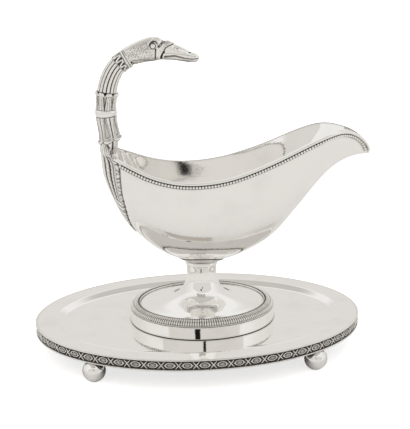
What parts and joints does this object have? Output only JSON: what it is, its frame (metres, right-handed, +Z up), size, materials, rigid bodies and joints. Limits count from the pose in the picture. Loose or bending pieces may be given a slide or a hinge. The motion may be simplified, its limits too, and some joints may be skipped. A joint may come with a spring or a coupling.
{
  "type": "helmet sauce boat",
  "caption": "Silver sauce boat of helmet form with a swan's-head handle, a pinched pouring lip and an oval foot, standing on its oval tray with ball feet",
  "frame": {"origin": "centre of the bottom of the bounding box, on the surface the ball feet stand on", "axes": "+X along the boat towards the pouring lip, +Y to its left, +Z up"},
  "size_m": [0.2632, 0.1862, 0.243],
  "materials": {
    "polished_silver": "polished silver, soft reflections",
    "cast_silver": "cast and chased silver, darkened in the recesses",
    "frieze_silver": "die-rolled silver border, oxidised ground"
  },
  "bodies": {
    "tray": {"tray_plate": "polished_silver", "tray_frieze_band": "frieze_silver", "ball_foot_spout_left": "polished_silver", "ball_foot_spout_right": "polished_silver", "ball_foot_handle_left": "polished_silver", "ball_foot_handle_right": "polished_silver"},
    "boat": {"foot_plinth": "polished_silver", "foot_dome": "polished_silver", "stem_collar": "polished_silver", "bowl_shell": "polished_silver", "rim_lip": "polished_silver", "rim_beads": "polished_silver", "handle_band": "polished_silver", "neck_ring": "polished_silver", "foot_leaf_border": "frieze_silver", "bowl_leaf": "cast_silver", "handle_stalk": "cast_silver", "lower_leaf_calyx": "cast_silver", "upper_leaf_cup": "cast_silver", "fluted_neck": "cast_silver", "scroll_collar": "cast_silver", "swan_head": "cast_silver"}
  },
  "joints": [
    {"name": "boat_lift", "type": "slide", "parent": "tray", "child": "boat", "axis": [0, 0, 1], "range_m": [0, 0.06]}
  ]
}
